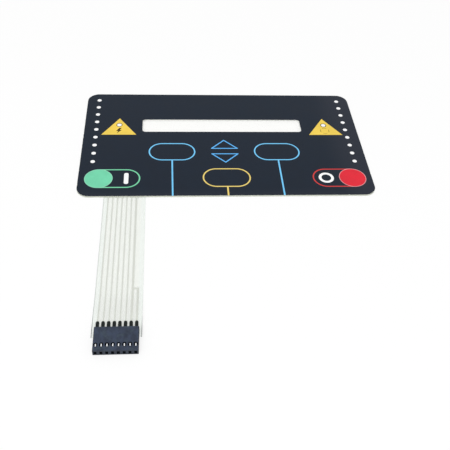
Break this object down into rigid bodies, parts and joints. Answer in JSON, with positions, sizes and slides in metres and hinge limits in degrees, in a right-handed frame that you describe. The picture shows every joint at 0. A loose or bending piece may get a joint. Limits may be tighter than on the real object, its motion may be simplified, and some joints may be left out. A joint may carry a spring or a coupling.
{
  "type": "membrane keypad",
  "caption": "Flat laminated membrane keypad with printed keys, indicator dots and a display window, a flat film tail and a crimped single-row receptacle.",
  "frame": {"origin": "middle of the panel's back, on the release liner", "axes": "+Z out of the front of the panel, +Y towards its top edge, the tail leaves towards -Y"},
  "size_m": [0.168, 0.1992, 0.0032],
  "materials": {
    "liner": "siliconised paper, matte",
    "adhesive": "clear acrylic",
    "circuit_film": "translucent polyester, satin",
    "silver": "printed silver, dull",
    "spacer": "white polyester",
    "dome_steel": "stainless spring steel",
    "overlay": "clear polyester",
    "housing": "moulded, satin",
    "contact_metal": "tinned spring metal",
    "navy_ink": "screen ink, satin",
    "blue_ink": "screen ink, satin",
    "amber_ink": "screen ink, satin",
    "green_ink": "screen ink, satin",
    "red_ink": "screen ink, satin",
    "yellow_ink": "screen ink, satin",
    "white_ink": "screen ink, satin",
    "black_ink": "screen ink, satin"
  },
  "bodies": {
    "root": {"release_liner": "liner", "rear_adhesive": "adhesive", "circuit_film": "circuit_film", "silver_tracks": "silver", "spacer": "spacer", "overlay_adhesive": "adhesive", "overlay_film": "overlay", "connector_housing": "housing", "dome_start": "dome_steel", "dome_left": "dome_steel", "dome_up": "dome_steel", "dome_down": "dome_steel", "dome_middle": "dome_steel", "dome_right": "dome_steel", "dome_stop": "dome_steel", "navy_print": "navy_ink", "blue_print": "blue_ink", "amber_print": "amber_ink", "green_print": "green_ink", "red_print": "red_ink", "yellow_print": "yellow_ink", "white_print": "white_ink", "black_print": "black_ink", "contact_1": "contact_metal", "contact_2": "contact_metal", "contact_3": "contact_metal", "contact_4": "contact_metal", "contact_5": "contact_metal", "contact_6": "contact_metal", "contact_7": "contact_metal", "contact_8": "contact_metal"}
  },
  "joints": []
}
